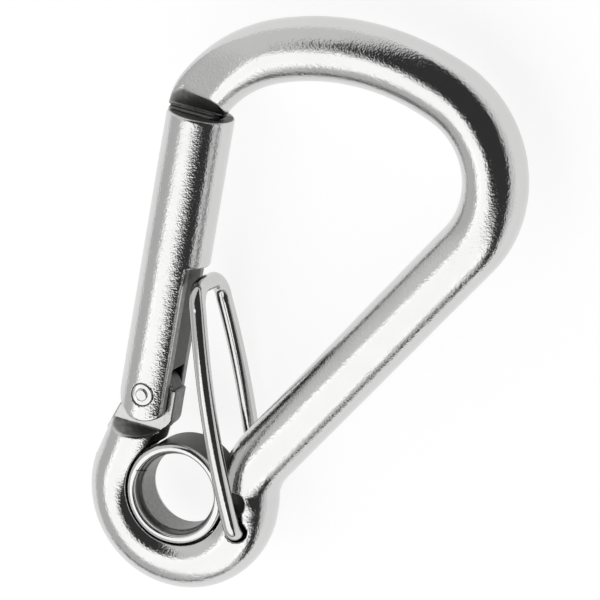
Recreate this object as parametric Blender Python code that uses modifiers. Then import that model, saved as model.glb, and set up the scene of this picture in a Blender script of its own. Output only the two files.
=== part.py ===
"""Eye hook with latch: a bent-bar spring hook with a gate, a wire latch and an eyelet.

Frame: the hook lies flat. X runs from the gate side to the bowl side, Y runs along the
closed gate from the eye to the bowl, and Z is the hook plane's normal, so the front face
looks up. Every dimension below is taken from the centre of the eyelet ferrule at mid
thickness, and one empty moves the whole hook so that the origin ends up at the bottom
centre of its box.
"""
from math import acos, asin, atan2, cos, pi, radians, sin, sqrt

import bmesh
import bpy
from mathutils import Matrix, Vector

MM = 0.001
GAP = 0.3 * MM                      # between pieces that touch on the real hook

# Bar that forms the body
BAR_RADIUS = 5.0 * MM
BEND_RADIUS_GAIN = 1.055            # the forged bend is a little thicker than the bar
BAR_TOP_GAIN = 1.033                # and starts to thicken where it leaves the straight side
NOSE_RADIUS_GAIN = 0.94
STRAIGHT_STATIONS = (0.8, 0.45)     # shares of the straight side where its centreline gets points
BAR_FOOT = ((24.0 * MM, 0.0, 0.9), (14.0 * MM, 0.0, 0.965), (7.5 * MM, 1.1 * MM, 0.7))
EYE_BAR_RADIUS = 4.81 * MM
BAR_LEAN = radians(57.1)            # straight side, measured from +X
BAR_OFFSET = 5.63 * MM              # from the ferrule centre to the straight side's line
BAR_TOP = 63.7 * MM                 # along that line, to the start of the big bend
BEND_RADIUS = 15.6 * MM
BEND_SWEEP = radians(102.4)
CROWN_RADIUS = 39.2 * MM
CROWN_SWEEP = radians(42.9)
NOSE_BEND_RADIUS = 21.5 * MM
NOSE_BEND_SWEEP = radians(44.0)
NOSE_RUN_OUT = 5.0 * MM

# Eye loop and its seat
EYE_CENTRE = Vector((0.14, -0.42)) * MM
EYE_RADIUS = 10.97 * MM             # centreline of the loop
EYE_END_ANGLE = radians(168.4)      # where the loop straightens towards the lug
EYE_RUN_OUT = 9.0 * MM
NECK_BEND_RADIUS = 11.0 * MM        # reverse bend between straight side and loop
FERRULE_RADIUS = 8.15 * MM
FERRULE_HALF_LENGTH = 4.54 * MM
FERRULE_MOUTH_RADIUS = 6.8 * MM
FERRULE_BORE_RADIUS = 6.15 * MM
FERRULE_STEP_Z = 2.9 * MM
FERRULE_STEP_SLOPE = 0.4 * MM
FERRULE_EDGE = 0.45 * MM
SEAT_RADIUS = FERRULE_RADIUS + GAP

# Gate and its hinge
GATE_RADIUS = 5.41 * MM
GATE_X = -7.76 * MM                 # the gate's own axis, parallel to Y
GATE_TIP_Y = 60.26 * MM
GATE_END_Y = 10.4 * MM
GATE_FLAT_X = GATE_X + 3.4 * MM     # inner side milled flat for the latch wire
GATE_NOTCH_Y = 36.2 * MM
NOTCH_CORNER = 0.8 * MM
GATE_RIM = 0.35 * MM
PIVOT = Vector((GATE_X, 14.76 * MM))
PIN_RADIUS = 1.5 * MM
PIN_HOLE_RADIUS = 1.7 * MM
PIN_HEAD_RADIUS = 1.75 * MM
PIN_DOME = 0.35 * MM                # how far the peened head stands proud of the gate
PIN_DOME_STEPS = ((0.5, 0.09 * MM), (0.85, 0.28 * MM))
PIN_RIM_DEPTH = 0.12 * MM
PIN_HEAD_TAPER = 0.6 * MM
SINK_DEPTH = 0.75 * MM              # countersink in gate and lug
SINK_RADIUS = 2.4425 * MM
SINK_TOP = 0.6 * MM
SLOT_HALF_WIDTH = 2.4 * MM
HINGE_SLOT_Y = 19.0 * MM
NOSE_SLOT_X = -4.3 * MM
NOSE_SLOT_Y = 55.6 * MM

# Lug at the end of the bar, inside the gate's fork
LUG_HALF_THICKNESS = 2.1 * MM
LUG_BLANK_HALF_THICKNESS = 2.73 * MM
LUG_RADIUS = 3.85 * MM
LUG_STEP_Y = 15.8 * MM              # where its inner wall stops below the gate's flat
LUG_INNER_X = -3.3 * MM
LUG_SHOULDER_Y = 8.9 * MM
LUG_SHOULDER_FOOT_Y = 7.25 * MM
LUG_OUTER = ((-12.75 * MM, 12.4 * MM), (-13.9 * MM, 8.9 * MM), (-13.2 * MM, 5.0 * MM))
LUG_ROOT = ((-6.6 * MM, 6.2 * MM), (-4.6 * MM, 8.6 * MM), (LUG_INNER_X, 10.4 * MM))
LUG_MILL_X = (-18.0 * MM, -1.0 * MM)
LUG_MILL_END_Y = 25.0 * MM

# Nose that the gate closes on
NOSE_LEDGE_Y = 61.1 * MM
NECK_HALF_THICKNESS = 1.0 * MM
NECK_TOP_Y = 62.0 * MM
NECK_RUN_OUT_Y = 64.9 * MM
TONGUE_HALF_THICKNESS = 1.95 * MM
NOSE_SIDE_X = -13.3 * MM            # the bar's end is trimmed flush with the gate
TONGUE_X = (-12.6 * MM, -5.1 * MM)
TONGUE_END_Y = 56.3 * MM
NOSE_MILL_X = (-18.0 * MM, 0.0)
NOSE_MILL_DROP = 1.0 * MM           # the mill starts this far below the ledge
NOSE_CLEAR_LOW = (-25.0 * MM, 50.0 * MM, -9.0 * MM)
NOSE_CLEAR_HIGH = (2.0 * MM, 72.0 * MM, 9.0 * MM)

# Wire latch
WIRE_RADIUS = 1.3 * MM
BAIL_PIVOT = Vector((11.4, -3.1)) * MM
BAIL_ANGLE = radians(109.9)
BAIL_LENGTH = 39.3 * MM
BAIL_FOOT_SPREAD = 5.73 * MM        # half distance between the legs at the feet
BAIL_BOW = 1.81 * MM                # and how much wider they bow to pass the bar
BAIL_BOW_AT = 16.9 * MM
BAIL_CORNER = 3.6 * MM
BAIL_FOOT_DEPTH_Z = 2.2 * MM
BAIL_FOOT_BEND = 1.75 * MM
BAIL_FOOT_TURNS = (0.0, 0.52, 1.05)
BAIL_CORNER_TURNS = (0.3, 0.6, 0.9, 1.2, 1.5)
BAIL_LEG_STEPS = 8
FOOT_HOLE_RADIUS = 1.7 * MM
FOOT_HOLE_Z = 1.7 * MM
RELIEF_RADIUS = 6.6 * MM
RELIEF_Z = 3.5 * MM
RELIEF_ANGLES = (radians(68.0), radians(112.0))

BAR_SIDES_RESOLUTION = 6
ARC_STEP = radians(8.0)
LUG_ARC_STEP = radians(12.0)
LUG_ARC_END = radians(170.0)
HOLE_ARC_STEP = radians(18.0)
FORK_ARC_STEP = radians(10.0)
CORNER_ARC_STEP = radians(22.5)
PIN_STEPS = 28
GATE_STEPS = 48
FERRULE_STEPS = 56
SEAT_STEPS = 64
CUT = 30.0 * MM                     # overshoot of the cutters
FLAT_RUN = 7.5 * MM                 # height at which the milling cutters end, clear of the bar
WELD = 0.00001                      # vertices closer than this are one

STEEL = (0.62, 0.62, 0.61, 1.0)


def clear_scene():
    """Empty the scene of its starting objects."""
    for item in list(bpy.data.objects):
        bpy.data.objects.remove(item, do_unlink=True)


def hang_on(made, point):
    """Move an object's origin to a point of the hook plane without moving its faces."""
    made.data.transform(Matrix.Translation((-point.x, -point.y, 0.0)))
    made.location = (point.x, point.y, 0.0)


def collection(name):
    """New collection in the scene."""
    made = bpy.data.collections.new(name)
    bpy.context.scene.collection.children.link(made)
    return made


def steel(name, roughness):
    """Principled stainless steel."""
    made = bpy.data.materials.new(name)
    made.use_nodes = True
    shader = made.node_tree.nodes["Principled BSDF"]
    shader.inputs["Base Color"].default_value = STEEL
    shader.inputs["Metallic"].default_value = 1.0
    shader.inputs["Roughness"].default_value = roughness
    made.diffuse_color = STEEL
    return made


def on_circle(centre, radius, angle):
    """Point on a circle in the hook plane."""
    return Vector((centre[0] + radius * cos(angle), centre[1] + radius * sin(angle)))


def arc_points(centre, radius, start, end, step=ARC_STEP):
    """Evenly spaced points along an arc, both ends included."""
    count = max(2, round(abs(end - start) / step))
    return [on_circle(centre, radius, start + (end - start) * i / count) for i in range(count + 1)]


def mesh_object(name, mesh, group):
    """Link a mesh as a new object."""
    made = bpy.data.objects.new(name, mesh)
    group.objects.link(made)
    return made


def curve_to_mesh(name, curve, group):
    """Turn a curve into a closed mesh object and drop the curve."""
    source = bpy.data.objects.new(name + "_curve", curve)
    group.objects.link(source)
    graph = bpy.context.evaluated_depsgraph_get()
    mesh = bpy.data.meshes.new_from_object(source.evaluated_get(graph))
    bpy.data.objects.remove(source, do_unlink=True)
    work = bmesh.new()
    work.from_mesh(mesh)
    bmesh.ops.remove_doubles(work, verts=work.verts, dist=WELD)
    bmesh.ops.recalc_face_normals(work, faces=work.faces)
    work.to_mesh(mesh)
    work.free()
    return mesh_object(name, mesh, group)


def tube(name, points, radius, group, resolution=BAR_SIDES_RESOLUTION):
    """Round tube through points of (x, y, z, radius factor)."""
    curve = bpy.data.curves.new(name, "CURVE")
    curve.dimensions = "3D"
    curve.bevel_depth = radius
    curve.bevel_resolution = resolution
    curve.use_fill_caps = True
    spline = curve.splines.new("POLY")
    spline.points.add(len(points) - 1)
    for point, (x, y, z, factor) in zip(spline.points, points):
        point.co = (x, y, z, 1.0)
        point.radius = factor
    return curve_to_mesh(name, curve, group)


def plate(name, outline, low, high, group):
    """Flat outline in the hook plane, extruded from z low to z high."""
    curve = bpy.data.curves.new(name, "CURVE")
    curve.dimensions = "2D"
    curve.fill_mode = "BOTH"
    curve.extrude = (high - low) / 2
    spline = curve.splines.new("POLY")
    spline.points.add(len(outline) - 1)
    for point, (x, y) in zip(spline.points, outline):
        point.co = (x, y, 0.0, 1.0)
    spline.use_cyclic_u = True
    made = curve_to_mesh(name, curve, group)
    made.data.transform(Matrix.Translation((0.0, 0.0, (low + high) / 2)))
    return made


def block(name, low, high, group):
    """Box between two corners."""
    size = Vector(high) - Vector(low)
    mesh = bpy.data.meshes.new(name)
    work = bmesh.new()
    bmesh.ops.create_cube(work, size=1.0)
    bmesh.ops.scale(work, vec=size, verts=work.verts)
    bmesh.ops.translate(work, vec=Vector(low) + size / 2, verts=work.verts)
    work.to_mesh(mesh)
    work.free()
    return mesh_object(name, mesh, group)


def side_block(name, section, low_x, high_x, group):
    """Section drawn in the YZ plane, extruded along X."""
    made = plate(name, section, -(high_x - low_x) / 2, (high_x - low_x) / 2, group)
    turn = Matrix(((0, 0, 1, (low_x + high_x) / 2), (1, 0, 0, 0), (0, 1, 0, 0), (0, 0, 0, 1)))
    made.data.transform(turn)
    return made


def turned(name, profile, steps, group):
    """Solid or ring turned about Z from a profile of (radius, z), top to bottom outside."""
    mesh = bpy.data.meshes.new(name)
    closed = profile[0][0] > 0.0
    edges = [(i, i + 1) for i in range(len(profile) - 1)]
    if closed:
        edges.append((len(profile) - 1, 0))
    mesh.from_pydata([(r, 0.0, z) for r, z in profile], edges, [])
    made = mesh_object(name, mesh, group)
    screw = made.modifiers.new("turn", "SCREW")
    screw.axis = "Z"
    screw.steps = steps
    screw.render_steps = steps
    screw.use_merge_vertices = True
    screw.merge_threshold = WELD
    return made


def applied(made):
    """Bake an object's modifiers into its mesh."""
    graph = bpy.context.evaluated_depsgraph_get()
    mesh = bpy.data.meshes.new_from_object(made.evaluated_get(graph))
    work = bmesh.new()
    work.from_mesh(mesh)
    bmesh.ops.remove_doubles(work, verts=work.verts, dist=WELD)
    bmesh.ops.recalc_face_normals(work, faces=work.faces)
    work.to_mesh(mesh)
    work.free()
    made.modifiers.clear()
    made.data = mesh
    return made


def combine(target, tool, operation):
    """Boolean with a helper object, which is kept as a hidden wire."""
    step = target.modifiers.new(tool.name, "BOOLEAN")
    step.operation = operation
    step.solver = "EXACT"
    step.object = tool
    tool.hide_render = True
    tool.display_type = "WIRE"


def finish(made, material, smooth_angle=32.0):
    """Apply the booleans, shade round faces smooth and set the material."""
    applied(made)
    made.data.materials.clear()
    made.data.materials.append(material)
    made.data.shade_smooth()
    made.data.set_sharp_from_angle(angle=radians(smooth_angle))


def bar_line(along, offset=BAR_OFFSET):
    """Point on the straight side, measured up it from the foot of the ferrule's normal."""
    return Vector((offset * sin(BAR_LEAN) + along * cos(BAR_LEAN),
                   -offset * cos(BAR_LEAN) + along * sin(BAR_LEAN)))


def bowl_points():
    """Centreline from the nose to the straight side, with radius factors."""
    heading = BAR_LEAN
    at = bar_line(BAR_TOP)
    points = [(at, BAR_TOP_GAIN)]
    arcs = ((BEND_RADIUS, BEND_SWEEP, BEND_RADIUS_GAIN), (CROWN_RADIUS, CROWN_SWEEP, 1.0),
            (NOSE_BEND_RADIUS, NOSE_BEND_SWEEP, NOSE_RADIUS_GAIN))
    factor = points[0][1]
    for radius, sweep, end_factor in arcs:
        centre = at + radius * Vector((-sin(heading), cos(heading)))
        start = heading - pi / 2
        run = arc_points(centre, radius, start, start + sweep)
        for i, point in enumerate(run[1:], 1):
            points.append((point, factor + (end_factor - factor) * i / (len(run) - 1)))
        at, heading, factor = run[-1], heading + sweep, end_factor
    points.append((at + NOSE_RUN_OUT * Vector((cos(heading), sin(heading))), factor))
    return points[::-1]


def neck_bend():
    """Centre of the reverse bend, the tangent distance up the bar and the loop's angle."""
    normal = Vector((sin(BAR_LEAN), -cos(BAR_LEAN)))
    up = Vector((cos(BAR_LEAN), sin(BAR_LEAN)))
    side = BAR_OFFSET - EYE_CENTRE.dot(normal) + NECK_BEND_RADIUS
    along = sqrt((EYE_RADIUS + NECK_BEND_RADIUS) ** 2 - side ** 2)
    centre = EYE_CENTRE + normal * side + up * along
    angle = atan2(centre.y - EYE_CENTRE.y, centre.x - EYE_CENTRE.x)
    return centre, angle


def body_centreline():
    """The whole bar: nose, crown, bend, straight side, reverse bend, loop and run-out."""
    centre, eye_start = neck_bend()
    eye_factor = EYE_BAR_RADIUS / BAR_RADIUS
    points = [(p.x, p.y, 0.0, f) for p, f in bowl_points()]
    points += [(*bar_line(BAR_TOP * t), 0.0, 1.0) for t in STRAIGHT_STATIONS]
    leave = BAR_LEAN + pi / 2
    for p in arc_points(centre, NECK_BEND_RADIUS, leave, eye_start + pi):
        points.append((p.x, p.y, 0.0, eye_factor))
    loop = arc_points(EYE_CENTRE, EYE_RADIUS, eye_start, EYE_END_ANGLE - 2 * pi)
    points += [(p.x, p.y, 0.0, eye_factor) for p in loop[1:]]
    end = loop[-1] + EYE_RUN_OUT * Vector((sin(EYE_END_ANGLE), -cos(EYE_END_ANGLE)))
    points.append((end.x, end.y, 0.0, eye_factor))
    return points


def lug_outline():
    """Plate that the gate's fork straddles, rounded about the pivot."""
    start = asin((LUG_STEP_Y - PIVOT.y) / LUG_RADIUS)
    top = arc_points(PIVOT, LUG_RADIUS, start, LUG_ARC_END, LUG_ARC_STEP)
    return [tuple(p) for p in top] + list(LUG_OUTER) + list(LUG_ROOT) + [(LUG_INNER_X, LUG_STEP_Y)]


def relief_outline():
    """Fan around a foot hole in which the leg of the latch swings."""
    low, high = RELIEF_ANGLES
    hub = arc_points(BAIL_PIVOT, FOOT_HOLE_RADIUS, high + pi / 2, low + 3 * pi / 2, HOLE_ARC_STEP)
    sweep = arc_points(BAIL_PIVOT, RELIEF_RADIUS, low, high, LUG_ARC_STEP)
    return [tuple(p) for p in hub + sweep]


def mill_section(flat_y, flat_z, run_y, run_z, far_y):
    """Half section of a milled flat whose end ramps out to the bar's surface."""
    slope = (run_y - flat_y) / (run_z - flat_z)
    out_y = flat_y + slope * (FLAT_RUN - flat_z)
    return [(flat_y, flat_z), (out_y, FLAT_RUN), (far_y, FLAT_RUN), (far_y, flat_z)]


def cut_both_sides(body, name, section, low_x, high_x, group):
    """Mill the same section from the front and from the back."""
    for side, sign in (("front", 1.0), ("back", -1.0)):
        outline = [(y, sign * z) for y, z in section]
        tool = side_block(name + "_" + side, outline, low_x, high_x, group)
        combine(body, tool, "DIFFERENCE")


def make_body(group, helpers, material):
    """Bent bar with eye loop, hinge lug and nose."""
    body = tube("hook_body", body_centreline(), BAR_RADIUS, group)
    foot = [(*bar_line(along, BAR_OFFSET + aside), 0.0, share) for along, aside, share in BAR_FOOT]
    combine(body, tube("bar_foot", foot, BAR_RADIUS, helpers, 5), "UNION")
    lug = plate("hinge_lug", lug_outline(), -LUG_BLANK_HALF_THICKNESS, LUG_BLANK_HALF_THICKNESS, helpers)
    combine(body, lug, "UNION")
    section = mill_section(LUG_SHOULDER_Y, LUG_HALF_THICKNESS, LUG_SHOULDER_FOOT_Y,
                           EYE_BAR_RADIUS, LUG_MILL_END_Y)
    cut_both_sides(body, "lug_flat", section, *LUG_MILL_X, helpers)
    seat = turned("ferrule_seat", [(0.0, CUT), (SEAT_RADIUS, CUT), (SEAT_RADIUS, -CUT), (0.0, -CUT)],
                  SEAT_STEPS, helpers)
    combine(body, seat, "DIFFERENCE")
    combine(body, pin_hole("lug_pin_hole", helpers), "DIFFERENCE")
    make_foot_holes(body, helpers)
    make_nose(body, helpers)
    finish(body, material)
    return body


def make_foot_holes(body, helpers):
    """Blind holes for the latch's feet, each with its swing relief."""
    for side, sign in (("front", 1.0), ("back", -1.0)):
        span = sorted((sign * FOOT_HOLE_Z, sign * FLAT_RUN))
        round_hole = arc_points(BAIL_PIVOT, FOOT_HOLE_RADIUS, 0.0, 2 * pi, HOLE_ARC_STEP)
        hole = [tuple(p) for p in round_hole[:-1]]
        combine(body, plate("foot_hole_" + side, hole, *span, helpers), "DIFFERENCE")
        span = sorted((sign * RELIEF_Z, sign * FLAT_RUN))
        combine(body, plate("foot_relief_" + side, relief_outline(), *span, helpers), "DIFFERENCE")


def make_nose(body, helpers):
    """Neck and tongue that enter the gate's end slot."""
    right, far, high = NOSE_CLEAR_HIGH
    below = block("below_nose", NOSE_CLEAR_LOW, (right, NOSE_LEDGE_Y, high), helpers)
    combine(body, below, "DIFFERENCE")
    beside = block("beside_nose", NOSE_CLEAR_LOW, (NOSE_SIDE_X, far, high), helpers)
    combine(body, beside, "DIFFERENCE")
    section = [(NOSE_LEDGE_Y - NOSE_MILL_DROP, NECK_HALF_THICKNESS)]
    section += mill_section(NECK_TOP_Y, NECK_HALF_THICKNESS, NECK_RUN_OUT_Y, BAR_RADIUS, 0.0)[:2]
    section += [(NOSE_LEDGE_Y - NOSE_MILL_DROP, FLAT_RUN)]
    cut_both_sides(body, "nose_flat", section, *NOSE_MILL_X, helpers)
    tongue = block("nose_tongue", (TONGUE_X[0], TONGUE_END_Y, -TONGUE_HALF_THICKNESS),
                   (TONGUE_X[1], NOSE_LEDGE_Y, TONGUE_HALF_THICKNESS), helpers)
    web = block("nose_web", (NOSE_SIDE_X, NOSE_LEDGE_Y - NOSE_MILL_DROP, -NECK_HALF_THICKNESS),
                (TONGUE_X[1], NECK_TOP_Y, NECK_HALF_THICKNESS), helpers)
    combine(body, web, "UNION")
    combine(body, tongue, "UNION")


def gate_outline():
    """Plan of the gate: rounded fork end, milled inner side, step and full-width tip."""
    wide = GATE_RADIUS * 1.2
    end_centre = (GATE_X, GATE_END_Y + GATE_RADIUS)
    low = acos((GATE_FLAT_X - GATE_X) / GATE_RADIUS)
    fork = arc_points(end_centre, GATE_RADIUS, -pi, -low, FORK_ARC_STEP)
    corner_x = GATE_X + GATE_RADIUS
    corner = (corner_x - NOTCH_CORNER, GATE_NOTCH_Y + NOTCH_CORNER)
    rounded = arc_points(corner, NOTCH_CORNER, -pi / 2, 0.0, CORNER_ARC_STEP)
    return ([tuple(p) for p in fork] + [(GATE_FLAT_X, GATE_NOTCH_Y)] + [tuple(p) for p in rounded]
            + [(GATE_X + wide, GATE_NOTCH_Y + 3 * NOTCH_CORNER), (GATE_X + wide, GATE_TIP_Y + CUT),
               (GATE_X - wide, GATE_TIP_Y + CUT), (GATE_X - wide, end_centre[1])])


def make_gate(group, helpers, material):
    """Round gate with a fork for the lug, a slot for the nose and a flat for the wire."""
    profile = [(0.0, GATE_TIP_Y), (GATE_RADIUS - GATE_RIM, GATE_TIP_Y), (GATE_RADIUS, GATE_TIP_Y - GATE_RIM),
               (GATE_RADIUS, GATE_END_Y - GATE_RADIUS), (0.0, GATE_END_Y - GATE_RADIUS)]
    gate = applied(turned("gate", profile, GATE_STEPS, group))
    along_y = Matrix(((1, 0, 0, GATE_X), (0, 0, 1, 0), (0, -1, 0, 0), (0, 0, 0, 1)))
    gate.data.transform(along_y)
    combine(gate, plate("gate_plan", gate_outline(), -CUT, CUT, helpers), "INTERSECT")
    fork = block("fork_slot", (-CUT, -CUT, -SLOT_HALF_WIDTH), (CUT, HINGE_SLOT_Y, SLOT_HALF_WIDTH), helpers)
    combine(gate, fork, "DIFFERENCE")
    nose = block("nose_slot", (-CUT, NOSE_SLOT_Y, -SLOT_HALF_WIDTH),
                 (NOSE_SLOT_X, GATE_TIP_Y + CUT, SLOT_HALF_WIDTH), helpers)
    combine(gate, nose, "DIFFERENCE")
    combine(gate, pin_hole("gate_pin_hole", helpers), "DIFFERENCE")
    finish(gate, material)
    hang_on(gate, PIVOT)
    return gate


def pin_hole(name, helpers):
    """Cutter for the hinge pin's hole, countersunk at both ends."""
    top = GATE_RADIUS + SINK_TOP
    half = [(0.0, top), (SINK_RADIUS, top), (PIN_HOLE_RADIUS, GATE_RADIUS - SINK_DEPTH)]
    profile = half + [(r, -z) for r, z in reversed(half)]
    made = turned(name, profile, PIN_STEPS, helpers)
    made.location = (PIVOT.x, PIVOT.y, 0.0)
    return made


def make_pin(group, material):
    """Hinge rivet, peened to a low dome at both ends."""
    top = GATE_RADIUS + PIN_DOME
    rim = GATE_RADIUS - PIN_RIM_DEPTH
    half = [(0.0, top)]
    half += [(PIN_HEAD_RADIUS * share, top - drop) for share, drop in PIN_DOME_STEPS]
    half += [(PIN_HEAD_RADIUS, rim), (PIN_RADIUS, rim - PIN_HEAD_TAPER)]
    profile = half + [(r, -z) for r, z in reversed(half)]
    pin = turned("gate_rivet", profile, PIN_STEPS, group)
    pin.location = (PIVOT.x, PIVOT.y, 0.0)
    finish(pin, material, 50.0)
    return pin


def make_ferrule(group, material):
    """Eyelet bushing with rounded lips and a stepped bore."""
    face = FERRULE_HALF_LENGTH
    edge = FERRULE_EDGE
    half = [(FERRULE_MOUTH_RADIUS + edge, face), (FERRULE_RADIUS - edge, face),
            (FERRULE_RADIUS, face - edge)]
    inner = [(FERRULE_MOUTH_RADIUS, face - edge), (FERRULE_MOUTH_RADIUS, FERRULE_STEP_Z),
             (FERRULE_BORE_RADIUS, FERRULE_STEP_Z - FERRULE_STEP_SLOPE)]
    outside = half + [(r, -z) for r, z in reversed(half)]
    inside = inner + [(r, -z) for r, z in reversed(inner)]
    ferrule = turned("eyelet_ferrule", outside + inside[::-1], FERRULE_STEPS, group)
    finish(ferrule, material)
    return ferrule


def leg_spread(along):
    """Half distance between the latch's legs at a distance from the feet."""
    return BAIL_FOOT_SPREAD + BAIL_BOW * (1.0 - ((along - BAIL_BOW_AT) / BAIL_BOW_AT) ** 2)


def make_bail(group, material):
    """U of round wire whose feet turn into the eye and whose crossbar bears on the gate."""
    out = Vector((cos(BAIL_ANGLE), sin(BAIL_ANGLE)))
    bend = BAIL_FOOT_BEND
    bend_z = leg_spread(bend) - bend
    half = [(0.0, BAIL_FOOT_DEPTH_Z)]
    half += [(bend * (1.0 - cos(turn)), bend_z + bend * sin(turn)) for turn in BAIL_FOOT_TURNS]
    leg_end = BAIL_LENGTH - BAIL_CORNER
    for step in range(BAIL_LEG_STEPS + 1):
        along = bend + (leg_end - bend) * step / BAIL_LEG_STEPS
        half.append((along, leg_spread(along)))
    corner_z = leg_spread(leg_end)
    for turn in BAIL_CORNER_TURNS:
        half.append((leg_end + BAIL_CORNER * sin(turn), corner_z - BAIL_CORNER * (1.0 - cos(turn))))
    whole = half + [(t, -z) for t, z in reversed(half)]
    points = [(*(BAIL_PIVOT + out * t), z, 1.0) for t, z in whole]
    bail = tube("latch_wire", points, WIRE_RADIUS, group, 3)
    finish(bail, material, 50.0)
    hang_on(bail, BAIL_PIVOT)
    return bail


def box_offset():
    """Shift that puts the origin at the bottom centre of the whole hook."""
    bowl = bowl_points()
    right = max(p.x + BAR_RADIUS * f for p, f in bowl)
    top = max(p.y + BAR_RADIUS * f for p, f in bowl)
    left = EYE_CENTRE.x - EYE_RADIUS - EYE_BAR_RADIUS
    bottom = EYE_CENTRE.y - EYE_RADIUS - EYE_BAR_RADIUS
    half_height = leg_spread(BAIL_BOW_AT) + WIRE_RADIUS
    return Vector((-(left + right) / 2, -(bottom + top) / 2, half_height))


def build():
    """Make every piece and hang it on one empty that sets the frame."""
    clear_scene()
    group = collection("eye_hook_with_latch")
    helpers = collection("cutters")
    bar = steel("bar_steel", 0.16)
    pieces = [
        make_body(group, helpers, bar),
        make_ferrule(group, steel("ferrule_steel", 0.14)),
        make_gate(group, helpers, steel("gate_steel", 0.17)),
        make_pin(group, steel("rivet_steel", 0.2)),
        make_bail(group, steel("wire_steel", 0.15)),
    ]
    frame = bpy.data.objects.new("hook_frame", None)
    group.objects.link(frame)
    frame.location = box_offset()
    for piece in pieces:
        piece.parent = frame


build()
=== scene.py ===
"""Looks of the eye hook with latch: smooth tumbled-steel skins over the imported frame.

Every piece but the latch wire is the zero surface of a distance field, worked out in
millimetres about the centre of the eyelet ferrule, with X towards the bowl side, Y along the
closed gate and Z out of the hook plane. Lengths and places are in millimetres of that frame
unless a comment says otherwise. Blending radii in the fields give the soft edges that
tumbling leaves.
"""
from math import cos, degrees, pi, radians, sin

import bpy
import numpy as np
from mathutils import Matrix, Vector


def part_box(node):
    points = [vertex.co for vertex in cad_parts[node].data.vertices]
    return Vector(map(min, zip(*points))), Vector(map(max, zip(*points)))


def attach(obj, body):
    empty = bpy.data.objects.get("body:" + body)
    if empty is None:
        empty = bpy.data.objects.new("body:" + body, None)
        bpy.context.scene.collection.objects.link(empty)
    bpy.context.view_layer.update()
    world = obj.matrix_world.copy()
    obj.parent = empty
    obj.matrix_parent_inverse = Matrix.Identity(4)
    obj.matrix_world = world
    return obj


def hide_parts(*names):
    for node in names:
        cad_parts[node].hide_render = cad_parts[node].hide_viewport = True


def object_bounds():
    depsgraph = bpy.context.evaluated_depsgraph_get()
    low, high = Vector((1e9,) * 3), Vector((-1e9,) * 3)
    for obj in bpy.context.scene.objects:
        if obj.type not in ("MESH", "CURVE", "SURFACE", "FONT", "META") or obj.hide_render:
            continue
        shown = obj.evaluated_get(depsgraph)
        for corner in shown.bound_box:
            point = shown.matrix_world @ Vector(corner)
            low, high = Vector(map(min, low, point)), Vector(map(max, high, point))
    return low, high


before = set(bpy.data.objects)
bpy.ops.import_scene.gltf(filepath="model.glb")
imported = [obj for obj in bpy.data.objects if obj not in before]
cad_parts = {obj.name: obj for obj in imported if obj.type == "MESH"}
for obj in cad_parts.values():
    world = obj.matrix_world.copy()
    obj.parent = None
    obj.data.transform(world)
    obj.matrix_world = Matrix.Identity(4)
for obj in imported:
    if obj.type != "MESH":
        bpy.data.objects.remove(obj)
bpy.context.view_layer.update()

MM = 0.001
ferrule_low, ferrule_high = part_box("eyelet_ferrule")
ORIGIN = np.array((ferrule_low + ferrule_high) / 2)      # the frame's ferrule centre, in metres
NEVER = -50.0                             # field value that leaves an intersection as it is

# Bar that forms the body
BAR_LEAN = radians(57.1)                  # heading of the straight side
BAR_OFFSET = 5.63                         # distance of its line from the ferrule's centre
BAR_START = 14.0                          # its run along that line
BAR_TOP = 63.7
BAR_FOOT_RADIUS = 4.86
BAR_TOP_RADIUS = 5.1
BEND = (15.6, radians(102.4), 5.24)       # bend radius, sweep and bar radius at its end
CROWN = (39.2, radians(42.9), 5.0)
NOSE_BEND = (21.5, radians(44.0), 4.7)
NOSE_RUN_OUT = 5.0
NOSE_END_RADIUS = 4.5

# Eye loop
EYE = np.array((0.14, -0.42))
EYE_RADIUS = 10.97
EYE_BAR_RADIUS = 4.81
EYE_END_ANGLE = radians(168.4)
EYE_RUN_OUT = 9.0
NECK_BEND_RADIUS = 11.0
NECK_FILL = (9.0, 16.0)                   # run along the bar of the metal that fills the neck
NECK_FILL_OFFSET = BAR_OFFSET + 0.5
NECK_FILL_RADIUS = 4.0
SEAT_RADIUS = 8.42

# Ferrule
FERRULE_RADIUS = 8.15
FERRULE_HALF_LENGTH = 4.54
MOUTH_RADIUS = 6.8
MOUTH_SLOPE = 0.6                         # how much its floor rises per millimetre outwards
BORE_RADIUS = 6.15
STEP_Z = 2.9
BEAD_Z = 4.15
SEAM_ANGLE = radians(163.0)
SEAM_HALF_WIDTH = 0.07
SEAM_OUTER_RADIUS = 7.15
SEAM_LOW_Z = 2.2

# Gate
GATE_X = -7.76
GATE_RADIUS = 5.41
GATE_TIP_Y = 60.26
GATE_END_Y = 10.4
GATE_FLAT_X = -4.36
NOTCH_Y = 36.2
PIVOT = np.array((GATE_X, 14.76))
SLOT_HALF_WIDTH = 2.4
HINGE_SLOT_Y = 19.0
NOSE_SLOT_X = -4.3
NOSE_SLOT_Y = 55.6
PIN_HOLE_RADIUS = 1.7
RIVET_SINK_RADIUS = 1.85                  # shallow sink round the rivet's head
RIVET_SINK_Z = 4.6

# Hinge lug at the end of the eye loop
LUG_HALF_THICKNESS = 2.1
LUG_RADIUS = 3.85
LUG_ROOT_Y = 7.0
LUG_STEP_Y = 15.8
LUG_INNER_X = -3.3
LUG_OUTSIDE = np.array((-13.19, 9.07))    # point on the flat that trims its gate side
LUG_OUTSIDE_ANGLE = radians(159.0)
LUG_OUTSIDE_FROM_Y = 2.0
LUG_CORNER = np.array((-4.2, 9.4))        # point on the flat that trims its inner corner
LUG_CORNER_NORMAL = np.array((0.62, -0.785))
LUG_LEVELS = (8.5, 25.0)                  # heights between which its faces are graded
SHOULDER_Y = 8.9
SHOULDER_LEAN = 0.61                      # drop per millimetre of depth
SHOULDER_NORMAL_LENGTH = 1.17
SHOULDER_END_X = 0.5

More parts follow.
